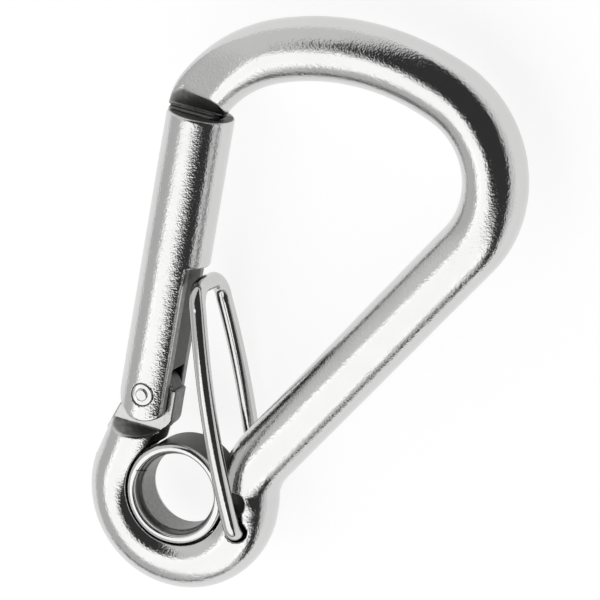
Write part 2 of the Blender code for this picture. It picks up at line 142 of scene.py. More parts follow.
# Nose
NOSE_FROM_Y = 50.0                        # the flats of the nose act above this height
NOSE_END_X = 1.0                          # and its cuts on the gate's side of this
LEDGE_Y = 60.6
TRIM_FROM_Y = 45.0
MILL_LEVELS = (55.0, 68.0)
NOSE_SIDE_X = -13.3
NECK_HALF_THICKNESS = 1.0
NECK_TOP_Y = 61.2
NECK_SLOPE = 0.47                         # millimetres of thickness per millimetre of height
NECK_TWIST = 0.137                        # how much steeper it gets per millimetre inwards
NECK_TWIST_X = -10.4
NECK_NORMAL_LENGTH = 1.5                  # a middling value, since the slope twists
FACET_NORMAL = np.array((-0.27, 0.06, 0.954))
FACET_POINT = np.array((-1.5, 70.0, 4.62))
TONGUE_X = (-12.6, -5.1)
TONGUE_END_Y = 56.3
TONGUE_HALF_THICKNESS = 1.95

# Latch wire, its foot holes and the pocket beside each
WIRE_RADIUS = 1.3
WIRE_SIDES = 32
WIRE_END_TAPER = (0.55, 0.9)              # share of the radius at the last two rings of each end
BAIL_PIVOT = np.array((11.4, -3.1))
BAIL_ANGLE = radians(109.9)
BAIL_LENGTH = 39.3
BAIL_CORNER = 3.6
BAIL_FOOT_BEND = 1.75
BAIL_FOOT_TURN = 1.35                     # radians that a foot's bend turns before the leg starts
BAIL_LEG_START = BAIL_FOOT_BEND + 0.3
BAIL_FOOT_SPREAD = 5.73
BAIL_BOW = 1.81                           # extra half spread where the legs pass the bar
BAIL_BOW_AT = 16.9
BAIL_FOOT_DEPTH = 2.2
FOOT_STEPS = 6
BEND_STEPS = 9
LEG_STEPS = 90
CORNER_STEPS = 14
CORNER_FIRST_TURN = 0.1
FOOT_HOLE_RADIUS = 1.7
FOOT_HOLE_DEPTH = 1.7
CHANNEL_RADIUS = 1.1
POCKET = np.array((10.3, 1.25))
POCKET_RADIUS = 1.8
POCKET_DEPTH = 2.6

# Hinge rivet
RIVET_RADIUS = 1.5
RIVET_HALF_LENGTH = 5.0
RIVET_HEAD_RADIUS = 1.75
RIVET_HEAD_Z = 5.36
RIVET_HEAD_CURVE = 0.08                   # follows the gate's round side
RIVET_HEAD_FOOT = 4.7
RIVET_BOSS_RADIUS = 1.0
RIVET_BOSS_Z = 5.68
RIVET_BOSS_DOME = 0.07

# Skins: the boxes that hold the fields, and their grids' cells
BODY_BOX = ((-17.5, -18.0, -6.5), (49.0, 83.0, 6.5))
GATE_BOX = ((-14.5, 8.5, -6.5), (-1.0, 62.0, 6.5))
FERRULE_BOX = ((-8.8, -8.8, -5.2), (8.8, 8.8, 5.2))
RIVET_BOX = ((-10.2, 12.2, -6.2), (-5.3, 17.3, 6.2))
BODY_CELL = 0.3
GATE_CELL_SHARE = 0.7                     # of the body's cell
FERRULE_CELL_SHARE = 0.6
RIVET_CELL_SHARE = 0.4
LEAST_SLOPE_SQUARED = 0.04                # keeps a settling step short where a field is flat
LONGEST_STEP = 0.2
WAVE_SIZE = 5.0
BODY_WAVE_DEPTH = 0.012
GATE_WAVE_DEPTH = 0.008
GATE_WAVE_SHIFT = 30.0

# Grades that the vertices hold: 0 polished, 1 milled, rougher and darkened with some painted shade,
# 2 painted shade on hidden faces
FULL_SHADE_GRADE = 2.0
# the lug's front is milled with a little painted shade; its walls between the gate's cheeks carry
# painted shade
LUG_FRONT_GRADE = 0.35
LUG_INNER_SHADE_GRADE = 1.3
LUG_OUTER_SHADE_GRADE = 1.8
CUT_MARGIN = 0.10                         # a face this far inside the bent bar counts as milled

# Steels: grain size, dimple depth, roughness, reflectance and stretch of the grain
BAR_LOOKS = (0.30, 0.060, 0.07, 0.66, (1.0, 1.0, 1.0))
GATE_LOOKS = (0.28, 0.065, 0.07, 0.66, (1.0, 1.0, 1.0))
RIVET_LOOKS = (0.30, 0.020, 0.10, 0.64, (1.0, 1.0, 1.0))
FERRULE_LOOKS = (0.30, 0.012, 0.10, 0.66, (1.0, 1.0, 3.0))
WIRE_LOOKS = (0.40, 0.012, 0.08, 0.62, (1.0, 1.0, 1.0))
COARSE_GRAIN = 2.2                        # times the fine grain
CLOUD_SIZE = 5.0
TOOLING_SIZE = 0.7
SPECKLE_ROUGHNESS = 0.08                  # added on the grain's peaks
MILLED_ROUGHNESS = 0.42
MILLED_BUMP = 0.7

# Floor, in metres
FLOOR_SIZE = 3.0
FLOOR_GAP = 0.0004
FLOOR_GREY = 0.30
FLOOR_ROUGHNESS = 0.9
FLOOR_GLOW = 0.82

# Room: its light level, and patches painted over a map of directions. Each patch is a level,
# the half width of its soft border in degrees, and convex corners in degrees tipped from
# straight up. Later patches cover earlier ones.
ROOM_LEVEL = 0.80
ROOM_PATCHES = (
    # grey walls beyond the gate and the eye
    (0.62, 5.0, [(-35, -20), (-70, 45), (-140, 40), (-140, -140), (30, -140), (25, -75), (0, -52)]),
    # ceiling behind the strip softbox, whose light is added to it
    (0.45, 5.0, [(-36, -38), (26, -76), (36, -34), (-26, 4)]),
    # dark stretches low in the room, beyond the eye
    (0.15, 2.5, [(-60, -60), (-72, -72), (-25, -100), (-15, -85)]),
    (0.10, 2.5, [(-30, -84), (-30, -100), (30, -100), (56, -78)]),
    # dark behind the camera
    (0.045, 2.5, [(-26, 14), (0, -12), (35, -24), (68, -20), (72, 10),
                  (62, 40), (45, 60), (8, 84), (-6, 88), (-27, 26)]),
    # bright corner between the eye and the bowl side
    (1.10, 4.0, [(62, -95), (140, -140), (140, -55), (75, -50)]),
    # dark bars before the bright corner
    (0.05, 2.0, [(30, -22), (48, -50), (68, -46), (68, -12)]),
    (0.05, 2.0, [(40, -84), (58, -86), (68, -44), (47, -46)]),
)

# Strip softbox that looks at a point near the crown; its distance and size are in metres
STRIP_AIM = (20.0, 62.0, 0.0)
STRIP_TOWARDS = (-0.026, -0.608, 0.793)
STRIP_LONG_WAY = (0.799, -0.490, -0.349)
STRIP_DISTANCE = 0.5
STRIP_SIZE = (0.80, 0.42)
STRIP_BRIGHTNESS = 1.0

# Camera
CAMERA_AIM = (13.66, 35.20, 0.0)
CAMERA_DISTANCE = 842.5
CAMERA_AZIMUTH = radians(42.05)           # from X, towards Y
CAMERA_ELEVATION = radians(64.70)
CAMERA_ROLL = radians(-119.25)            # from a level camera
CAMERA_LENS = 324.465                     # focal length
CAMERA_SENSOR = 36.0


# ---------------------------------------------------------------- distance fields

def direction(angle):
    """Unit vector in the hook plane."""
    return np.array((cos(angle), sin(angle)))


def smooth_min(a, b, blend):
    """Union of two fields with a fillet."""
    mix = np.clip(0.5 + 0.5 * (b - a) / blend, 0.0, 1.0)
    return b * (1.0 - mix) + a * mix - blend * mix * (1.0 - mix)


def smooth_max(a, b, blend):
    """Intersection of two fields with a rounded edge."""
    return -smooth_min(-a, -b, blend)


def cut(solid, tool, blend):
    """Solid less tool, with a rounded edge."""
    return smooth_max(solid, -tool, blend)


def fade(value, width):
    """0 below zero, rising to 1 over a width."""
    return np.clip(value / width, 0.0, 1.0)


def straight_bar(p, start, end, start_radius, end_radius):
    """Round bar between two points of the hook plane."""
    run = end - start
    share = np.clip(((p[:, :2] - start) @ run) / (run @ run), 0.0, 1.0)
    away = p[:, :2] - start - share[:, None] * run
    flat = (away ** 2).sum(1)
    return np.sqrt(flat + p[:, 2] ** 2) - start_radius - (end_radius - start_radius) * share


def bent_bar(p, centre, radius, start, sweep, start_radius, end_radius):
    """Round bar along an arc of the hook plane that starts at an angle and sweeps on."""
    away = p[:, :2] - centre
    turn = np.arctan2(away[:, 1], away[:, 0]) - (start + sweep / 2)
    turn = (turn + pi) % (2 * pi) - pi
    share = np.clip(turn / sweep + 0.5, 0.0, 1.0)
    angle = start + sweep * share
    nearest = np.stack((np.cos(angle), np.sin(angle)), 1) * radius
    flat = ((away - nearest) ** 2).sum(1)
    return np.sqrt(flat + p[:, 2] ** 2) - start_radius - (end_radius - start_radius) * share


def slab(p, axis, low, high):
    """Space between two planes square to an axis."""
    return np.maximum(low - p[:, axis], p[:, axis] - high)


def post(p, centre, radius):
    """Cylinder square to the hook plane."""
    return np.hypot(p[:, 0] - centre[0], p[:, 1] - centre[1]) - radius


def forged_wave(p):
    """Slow uneven waves, about 1 high, of a surface that was bent and tumbled."""
    x, y, z = (p / WAVE_SIZE).T
    wave = np.sin(1.3 * x + 2.1 * np.sin(0.9 * y + 0.4)) * np.sin(1.1 * y + 1.7 * np.sin(1.2 * z))
    wave += 0.6 * np.sin(2.9 * x - 1.9 * y + 1.3 * z + 2.0) * np.sin(2.3 * y + 1.7 * x)
    wave += 0.35 * np.sin(5.1 * y + 3.7 * z - 2.2 * x) * np.sin(4.3 * x + 1.1)
    return wave


# ---------------------------------------------------------------- skinning a field

def grid_values(field, low, counts, cell):
    """Field values at the nodes of a grid, one slab at a time."""
    ys = low[1] + cell * np.arange(counts[1])
    zs = low[2] + cell * np.arange(counts[2])
    values = np.empty(counts, np.float32)
    for i in range(counts[0]):
        x = low[0] + cell * i
        grid = np.stack(np.meshgrid([x], ys, zs, indexing="ij"), -1).reshape(-1, 3)
        values[i] = field(grid).reshape(counts[1], counts[2])
    return values


def net_vertices(values, low, cell):
    """One vertex in each cell that the surface crosses, and the cells' numbers."""
    inside = values < 0
    shape = tuple(n - 1 for n in values.shape)
    count = np.zeros(shape, np.int8)
    for dx in (0, 1):
        for dy in (0, 1):
            for dz in (0, 1):
                count += inside[dx:dx + shape[0], dy:dy + shape[1], dz:dz + shape[2]]
    cells = np.argwhere((count > 0) & (count < 8))
    total = np.zeros((len(cells), 3))
    hits = np.zeros(len(cells))
    for axis in range(3):
        others = [a for a in range(3) if a != axis]
        for first in (0, 1):
            for second in (0, 1):
                step = np.zeros(3, int)
                step[others[0]], step[others[1]] = first, second
                near = cells + step
                far = near.copy()
                far[:, axis] += 1
                a = values[tuple(near.T)].astype(float)
                b = values[tuple(far.T)].astype(float)
                crossed = (a < 0) != (b < 0)
                share = np.where(crossed, a / np.where(crossed, a - b, 1.0), 0.0)
                point = near + share[:, None] * (far - near)
                total += point * crossed[:, None]
                hits += crossed
    numbers = np.full(shape, -1, np.int64)
    numbers[tuple(cells.T)] = np.arange(len(cells))
    return low + cell * total / hits[:, None], numbers


def net_faces(values, numbers):
    """A quad around each grid edge that the surface crosses."""
    quads = []
    for axis in range(3):
        u, v = [a for a in range(3) if a != axis]
        if axis == 1:
            u, v = v, u
        near = values.take(np.arange(values.shape[axis] - 1), axis) < 0
        far = values.take(np.arange(1, values.shape[axis]), axis) < 0
        spots = np.argwhere(near != far)
        spots = spots[(spots[:, u] > 0) & (spots[:, v] > 0)]
        flip = ~near[tuple(spots.T)]
        ring = []
        for du, dv in ((-1, -1), (0, -1), (0, 0), (-1, 0)):
            at = spots.copy()
            at[:, u] += du
            at[:, v] += dv
            ring.append(numbers[tuple(at.T)])
        ring = np.stack(ring, 1)
        ring[flip] = ring[flip][:, ::-1]
        quads.append(ring)
    return np.concatenate(quads)


def gradient(field, p, reach=0.02):
    """Direction in which the field grows, by central differences."""
    slope = np.empty_like(p)
    for axis in range(3):
        step = np.zeros(3)
        step[axis] = reach
        slope[:, axis] = (field(p + step) - field(p - step)) / (2 * reach)
    return slope


def settle(field, p, rounds):
    """Move points along the gradient onto the surface."""
    for _ in range(rounds):
        slope = gradient(field, p)
        squared = np.maximum((slope ** 2).sum(1), LEAST_SLOPE_SQUARED)
        p = p - slope * np.clip(field(p) / squared, -LONGEST_STEP, LONGEST_STEP)[:, None]
    return p


def even_out(p, quads, share):
    """Pull each vertex towards the middle of its neighbours."""
    total = np.zeros_like(p)
    count = np.zeros(len(p))
    for a, b in ((0, 1), (1, 2), (2, 3), (3, 0)):
        np.add.at(total, quads[:, a], p[quads[:, b]])
        np.add.at(total, quads[:, b], p[quads[:, a]])
        np.add.at(count, quads[:, a], 1)
        np.add.at(count, quads[:, b], 1)
    return p + share * (total / count[:, None] - p)


def in_scene(name, data):
    """New object in the scene from a mesh's, a lamp's or a camera's data."""
    made = bpy.data.objects.new(name, data)
    bpy.context.scene.collection.objects.link(made)
    return made


def skin(name, field, box, cell, milled=None):
    """Smooth mesh object on the zero surface of a field, inside a box.

    The milled function grades each vertex from polished through milled to painted shade; without
    one, all of it is polished.
    """
    low, high = np.array(box)
    counts = tuple(int(n) + 2 for n in (high - low) / cell)
    values = grid_values(field, low, counts, cell)
    p, numbers = net_vertices(values, low, cell)
    quads = net_faces(values, numbers)
    p = settle(field, p, 2)
    for _ in range(2):
        p = settle(field, even_out(p, quads, 0.5), 1)
    p = settle(field, p, 2)
    normals = gradient(field, p)
    normals /= np.linalg.norm(normals, axis=1)[:, None]
    mesh = bpy.data.meshes.new(name)
    mesh.vertices.add(len(p))
    mesh.vertices.foreach_set("co", (p * MM + ORIGIN).astype(np.float32).ravel())
    mesh.loops.add(quads.size)
    mesh.loops.foreach_set("vertex_index", quads.astype(np.int32).ravel())
    mesh.polygons.add(len(quads))
    mesh.polygons.foreach_set("loop_start", np.arange(0, quads.size, 4, dtype=np.int32))
    mesh.update(calc_edges=True)
    mesh.validate()
    mesh.shade_smooth()
    mesh.normals_split_custom_set_from_vertices(normals)
    # grade of milled faces and of painted shade, read by the steel material
    finish_and_shade_grade = mesh.attributes.new("milled", "FLOAT", "POINT")
    grades = np.clip(milled(p), 0.0, FULL_SHADE_GRADE) if milled else np.zeros(len(p))
    finish_and_shade_grade.data.foreach_set("value", grades)
    return in_scene(name, mesh)


# ---------------------------------------------------------------- the body's field

def bar_line(along, offset=BAR_OFFSET):
    """Point on the bar's straight side."""
    return offset * direction(BAR_LEAN - pi / 2) + along * direction(BAR_LEAN)


def bowl_field(p):
    """Straight side, big bend, crown and nose bend."""
    at, heading, radius = bar_line(BAR_TOP), BAR_LEAN, BAR_TOP_RADIUS
    solid = straight_bar(p, bar_line(BAR_START), at, BAR_FOOT_RADIUS, radius)
    for bend_radius, sweep, end_radius in (BEND, CROWN, NOSE_BEND):
        centre = at + bend_radius * direction(heading + pi / 2)
        start = heading - pi / 2
        bent = bent_bar(p, centre, bend_radius, start, sweep, radius, end_radius)
        solid = np.minimum(solid, bent)
        at = centre + bend_radius * direction(start + sweep)
        heading, radius = heading + sweep, end_radius
    end = at + NOSE_RUN_OUT * direction(heading)
    return np.minimum(solid, straight_bar(p, at, end, radius, NOSE_END_RADIUS))


def neck_bend():
    """Centre of the reverse bend between bar and loop, and its angle seen from the loop."""
    normal = direction(BAR_LEAN - pi / 2)
    up = direction(BAR_LEAN)
    side = BAR_OFFSET - EYE @ normal + NECK_BEND_RADIUS
    along = np.sqrt((EYE_RADIUS + NECK_BEND_RADIUS) ** 2 - side ** 2)
    centre = EYE + normal * side + up * along
    away = centre - EYE
    return centre, np.arctan2(away[1], away[0])


NECK_CENTRE, EYE_START = neck_bend()


def lug_outside(p):
    """Distance beyond the flat that trims the lug and the end of the loop on the gate side."""
    return (p[:, :2] - LUG_OUTSIDE) @ direction(LUG_OUTSIDE_ANGLE)


def eye_loop(p):
    """Eye loop with its run-out towards the lug, as bent and trimmed on the gate side."""
    sweep = EYE_END_ANGLE - 2 * pi - EYE_START
    loop = bent_bar(p, EYE, EYE_RADIUS, EYE_START, sweep, EYE_BAR_RADIUS, EYE_BAR_RADIUS)
    at = EYE + EYE_RADIUS * direction(EYE_END_ANGLE)
    end = at + EYE_RUN_OUT * direction(EYE_END_ANGLE - pi / 2)
    loop = np.minimum(loop, straight_bar(p, at, end, EYE_BAR_RADIUS, EYE_BAR_RADIUS))
    trim = np.where(p[:, 1] > LUG_OUTSIDE_FROM_Y, lug_outside(p), NEVER)
    return smooth_max(loop, trim, blend=1.2)


def lug_field(p):
    """Flat lug between the gate's cheeks."""
    web = np.maximum(lug_outside(p), p[:, 0] - LUG_INNER_X)
    web = np.maximum(web, slab(p, 1, LUG_ROOT_Y, LUG_STEP_Y))
    web = smooth_max(web, (p[:, :2] - LUG_CORNER) @ LUG_CORNER_NORMAL, blend=1.0)
    flat = smooth_min(web, post(p, PIVOT, LUG_RADIUS), blend=0.3)
    return smooth_max(flat, np.abs(p[:, 2]) - LUG_HALF_THICKNESS, blend=0.3)


def eye_field(p):
    """Eye loop, milled down at the shoulder to the hinge lug."""
    depth = np.abs(p[:, 2]) - LUG_HALF_THICKNESS
    slope = (p[:, 1] - SHOULDER_Y + SHOULDER_LEAN * depth) / SHOULDER_NORMAL_LENGTH
    above = smooth_max(-depth, -slope, blend=0.25)
    loop = cut(eye_loop(p), np.maximum(above, p[:, 0] - SHOULDER_END_X), blend=0.35)
    return smooth_min(loop, lug_field(p), blend=0.4)


def foot_recess(p):
    """Drilled hole for a latch foot, the pocket beside it and the channel between them."""
    depth = np.abs(p[:, 2])
    hole = np.maximum(post(p, BAIL_PIVOT, FOOT_HOLE_RADIUS), FOOT_HOLE_DEPTH - depth)
    flat = p * (1.0, 1.0, 0.0)
    channel = straight_bar(flat, BAIL_PIVOT, POCKET, CHANNEL_RADIUS, CHANNEL_RADIUS)
    pocket = np.minimum(channel, post(p, POCKET, POCKET_RADIUS))
    return smooth_min(hole, np.maximum(pocket, POCKET_DEPTH - depth), blend=0.2)


def neck_field(p):
    """Reverse bend from the straight side into the eye loop."""
    leave = BAR_LEAN + pi / 2
    neck = bent_bar(p, NECK_CENTRE, NECK_BEND_RADIUS, leave, EYE_START + pi - leave,
                    BAR_FOOT_RADIUS, EYE_BAR_RADIUS)
    low, high = NECK_FILL
    fill = straight_bar(p, bar_line(low, NECK_FILL_OFFSET), bar_line(high),
                        NECK_FILL_RADIUS, BAR_FOOT_RADIUS)
    return np.minimum(neck, fill)


def nose_facet(p):
    """Distance beyond the flattened top of the nose, on either face."""
    upper = np.column_stack((p[:, 0], p[:, 1], np.abs(p[:, 2])))
    return np.where(p[:, 1] > NOSE_FROM_Y, (upper - FACET_POINT) @ FACET_NORMAL, NEVER)


def bent_shape(p):
    """Bowl with the nose's end rounded off flush with the gate and flattened on both faces."""
    side = np.where(p[:, 1] > NOSE_FROM_Y, NOSE_SIDE_X - p[:, 0], NEVER)
    return smooth_max(smooth_max(bowl_field(p), side, blend=1.6), nose_facet(p), blend=0.8)


def nose_cuts(p, solid):
    """Trim the bar's end, mill it to a neck on both faces and add the tongue."""
    beyond = p[:, 0] - NOSE_END_X
    below = np.maximum(p[:, 1] - LEDGE_Y, np.maximum(beyond, TRIM_FROM_Y - p[:, 1]))
    solid = cut(solid, below, blend=0.25)
    slope = NECK_SLOPE + NECK_TWIST * np.maximum(p[:, 0] - NECK_TWIST_X, 0.0)
    rise = np.maximum(p[:, 1] - NECK_TOP_Y, 0.0) * slope
    milled = (NECK_HALF_THICKNESS + rise - np.abs(p[:, 2])) / NECK_NORMAL_LENGTH
    milled = np.maximum(milled, np.maximum(beyond, slab(p, 1, *MILL_LEVELS)))
    solid = cut(solid, milled, blend=0.3)
    tongue = np.maximum(slab(p, 0, *TONGUE_X), slab(p, 1, TONGUE_END_Y, LEDGE_Y))
    tongue = smooth_max(tongue, np.abs(p[:, 2]) - TONGUE_HALF_THICKNESS, blend=0.4)
    return np.minimum(solid, tongue)


def body_field(p):
    """The whole bent bar."""
    bar = np.minimum(nose_cuts(p, bent_shape(p)), neck_field(p))
    solid = smooth_min(bar, eye_field(p), blend=0.35)
    solid = cut(solid, post(p, (0.0, 0.0), SEAT_RADIUS), blend=0.3)
    solid = cut(solid, foot_recess(p), blend=0.25)
    solid = cut(solid, post(p, PIVOT, PIN_HOLE_RADIUS), blend=0.15)
    return solid - BODY_WAVE_DEPTH * forged_wave(p)


def body_finish_and_shade(p):
    """Grade of the body's machined faces and painted shade; the seat and the foot pocket get the
    darkest painted shade.
    """
    x, y, deep = p[:, 0], p[:, 1], np.abs(p[:, 2])
    raw = np.minimum(np.minimum(bent_shape(p), neck_field(p)), eye_loop(p))
    cut_face = fade(-raw - CUT_MARGIN, 0.15)
    tongue = fade(np.minimum(LEDGE_Y - 0.3 - y, y - NOSE_FROM_Y), 1.0) * (x < 0.0)
    seat = fade(SEAT_RADIUS + 0.25 - np.hypot(x, y), 0.15)
    pocket = fade(0.25 - foot_recess(p), 0.2)
    # the seat and the foot pocket get painted shade on top of their milled grade
    grade = np.maximum(cut_face, tongue) + cut_face * np.maximum(seat, pocket)
    low, high = LUG_LEVELS
    lug = (y > low) & (y < high) & (x < 0.0)
    # painted shade on the lug's walls between the gate's cheeks
    wall = np.where(x > LUG_INNER_X - 0.5, LUG_INNER_SHADE_GRADE, LUG_OUTER_SHADE_GRADE)
    wall = wall * (lug_outside(p) < -0.3)
    edge = lug & (y > SHOULDER_Y + 0.4) & (deep < LUG_HALF_THICKNESS - 0.12)
    front = lug & (np.abs(deep - LUG_HALF_THICKNESS) < 0.12)
    return np.where(front, LUG_FRONT_GRADE, np.where(edge, wall, grade))


# ---------------------------------------------------------------- the other pieces' fields

def gate_field(p):
    """Round gate with its fork, flat, step and end slot."""
    x, y, deep = p[:, 0], p[:, 1], np.abs(p[:, 2])
    solid = smooth_max(np.hypot(x - GATE_X, deep) - GATE_RADIUS, y - GATE_TIP_Y, blend=0.5)
    end_y = GATE_END_Y + GATE_RADIUS
    end = np.where(y < end_y, post(p, (GATE_X, end_y), GATE_RADIUS), NEVER)
    solid = smooth_max(solid, end, blend=0.5)
    flat = smooth_max(GATE_FLAT_X - x, y - NOTCH_Y, blend=0.6)
    solid = cut(solid, flat, blend=0.5)
    fork = smooth_max(deep - SLOT_HALF_WIDTH, y - HINGE_SLOT_Y, blend=0.3)
    solid = cut(solid, fork, blend=0.3)
    slot = smooth_max(deep - SLOT_HALF_WIDTH, x - NOSE_SLOT_X, blend=0.8)
    solid = cut(solid, np.maximum(slot, NOSE_SLOT_Y - y), blend=0.3)
    sink = np.maximum(post(p, PIVOT, RIVET_SINK_RADIUS), RIVET_SINK_Z - deep)
    solid = cut(solid, np.minimum(post(p, PIVOT, PIN_HOLE_RADIUS), sink), blend=0.12)
    return solid - GATE_WAVE_DEPTH * forged_wave(p + GATE_WAVE_SHIFT)


def gate_finish_and_shade(p):
    """Grade of the gate's flat, 1, milled with some painted shade, and of its slots, 2, painted
    shade; its round outside is 0.
    """
    inside = fade(GATE_RADIUS - 0.15 - np.hypot(p[:, 0] - GATE_X, p[:, 2]), 0.15)
    return inside * (1.0 + fade(SLOT_HALF_WIDTH + 0.2 - np.abs(p[:, 2]), 0.2))


def ferrule_field(p):
    """Bushing with a bead at each lip, a stepped bore and its rolled seam."""
    out = np.hypot(p[:, 0], p[:, 1])
    deep = np.abs(p[:, 2])
    solid = smooth_max(out - FERRULE_RADIUS, deep - FERRULE_HALF_LENGTH, blend=0.9)
    solid = cut(solid, out - BORE_RADIUS, blend=0.2)
    step = STEP_Z - deep + MOUTH_SLOPE * (out - BORE_RADIUS)
    solid = cut(solid, smooth_max(out - MOUTH_RADIUS, step, blend=0.25), blend=0.5)
    along = direction(SEAM_ANGLE)
    across = np.abs(p[:, 0] * along[1] - p[:, 1] * along[0]) - SEAM_HALF_WIDTH
    seam = np.maximum(across, -(p[:, :2] @ along))
    seam = np.maximum(seam, np.maximum(out - SEAM_OUTER_RADIUS, SEAM_LOW_Z - p[:, 2]))
    return cut(solid, seam, blend=0.06)


def ferrule_finish_and_shade(p):
    """Grade 0 on the beads, 1 down the bore, rougher with painted shade, and 2, painted shade, on
    the outside wall inside the eye loop.
    """
    wall = fade(np.hypot(p[:, 0], p[:, 1]) - FERRULE_RADIUS + 0.3, 0.15)
    return fade(BEAD_Z - np.abs(p[:, 2]), 0.5) * (1.0 + wall)


def rivet_field(p):
    """Peened rivet: a shank, a flat head flush with the gate and a boss in its middle."""
    out = post(p, PIVOT, 0.0)
    deep = np.abs(p[:, 2])
    shank = np.maximum(out - RIVET_RADIUS, deep - RIVET_HALF_LENGTH)
    top = RIVET_HEAD_Z - RIVET_HEAD_CURVE * (p[:, 0] - GATE_X) ** 2
    head = np.maximum(deep - top, RIVET_HEAD_FOOT - deep)
    head = smooth_max(out - RIVET_HEAD_RADIUS, head, blend=0.18)
    dome = deep - RIVET_BOSS_Z + RIVET_BOSS_DOME * out ** 2
    boss = smooth_max(out - RIVET_BOSS_RADIUS, dome, blend=0.25)
    return np.minimum(np.minimum(shank, head), np.maximum(boss, RIVET_HEAD_FOOT - deep))


# ---------------------------------------------------------------- latch wire

def leg_spread(along):
    """Half distance between the latch's legs at a distance from its feet."""
    return BAIL_FOOT_SPREAD + BAIL_BOW * (1.0 - ((along - BAIL_BOW_AT) / BAIL_BOW_AT) ** 2)


def wire_line():
    """Centreline of the latch wire from foot to foot: distance from the feet, and height."""
    bend = BAIL_FOOT_BEND
    bend_z = leg_spread(bend) - bend
    foot_z = BAIL_FOOT_DEPTH
    half = [(0.0, foot_z + (bend_z - foot_z) * i / FOOT_STEPS) for i in range(FOOT_STEPS)]
    for turn in np.linspace(0.0, BAIL_FOOT_TURN, BEND_STEPS):
        half.append((bend * (1.0 - cos(turn)), bend_z + bend * sin(turn)))
    leg_end = BAIL_LENGTH - BAIL_CORNER
    half += [(t, leg_spread(t)) for t in np.linspace(BAIL_LEG_START, leg_end, LEG_STEPS)]
    corner_z = leg_spread(leg_end)
    for turn in np.linspace(CORNER_FIRST_TURN, pi / 2, CORNER_STEPS):
        half.append((leg_end + BAIL_CORNER * sin(turn), corner_z - BAIL_CORNER * (1.0 - cos(turn))))
    return np.array(half + [(t, -z) for t, z in reversed(half)])


def swept_wire(name, radius, sides):
    """Round wire along its centreline, with rounded ends."""
    out = direction(BAIL_ANGLE)
    along, height = wire_line().T
    centre = np.stack((BAIL_PIVOT[0] + out[0] * along, BAIL_PIVOT[1] + out[1] * along, height), 1)
    run = np.gradient(centre, axis=0)
    run /= np.linalg.norm(run, axis=1)[:, None]
    across = np.array((out[1], -out[0], 0.0))
    lift = np.cross(run, across)
    thick = np.full(len(centre), radius)
    for back, share in enumerate(WIRE_END_TAPER):
        thick[back] = thick[-1 - back] = radius * share
    points = []
    for step in range(sides):
        turn = 2 * pi * step / sides
        points.append(centre + thick[:, None] * (cos(turn) * across + sin(turn) * lift))
    points = np.stack(points, 1).reshape(-1, 3)
    faces = []
    for i in range(len(centre) - 1):
        for j in range(sides):
            k = (j + 1) % sides
            faces.append((i * sides + j, i * sides + k, (i + 1) * sides + k, (i + 1) * sides + j))
    last = (len(centre) - 1) * sides
    faces.append(tuple(range(sides))[::-1])
    faces.append(tuple(last + j for j in range(sides)))
    mesh = bpy.data.meshes.new(name)
    mesh.from_pydata((points * MM + ORIGIN).tolist(), [], faces)
    mesh.shade_smooth()
    return in_scene(name, mesh)


# ---------------------------------------------------------------- materials

def noise(tree, where, size, detail):
    """Noise whose blobs are about one size."""
    made = tree.nodes.new("ShaderNodeTexNoise")
    made.inputs["Scale"].default_value = 1.0 / (size * MM)
    made.inputs["Detail"].default_value = detail
    tree.links.new(where, made.inputs["Vector"])
    return made.outputs["Fac"]


def remap(tree, value, source, target):
    """Value carried from one range to another and clamped there."""
    made = tree.nodes.new("ShaderNodeMapRange")
    made.inputs["From Min"].default_value, made.inputs["From Max"].default_value = source
    made.inputs["To Min"].default_value, made.inputs["To Max"].default_value = target
    tree.links.new(value, made.inputs["Value"])
    return made.outputs["Result"]


def mixed(tree, kind, share, a, b):
    """Mix of two values or colours; each is a socket or a constant."""
    made = tree.nodes.new("ShaderNodeMix")
    made.data_type = kind
    tree.links.new(share, made.inputs["Factor"])
    spots = {"FLOAT": (2, 3), "RGBA": (6, 7)}[kind]
    for spot, value in zip(spots, (a, b)):
        if isinstance(value, (float, tuple)):
            made.inputs[spot].default_value = value
        else:
            tree.links.new(value, made.inputs[spot])
    return made.outputs["Result"]


def grey(level, warmth=0.003):
    """Slightly warm grey."""
    return (level + warmth, level, level - warmth, 1.0)


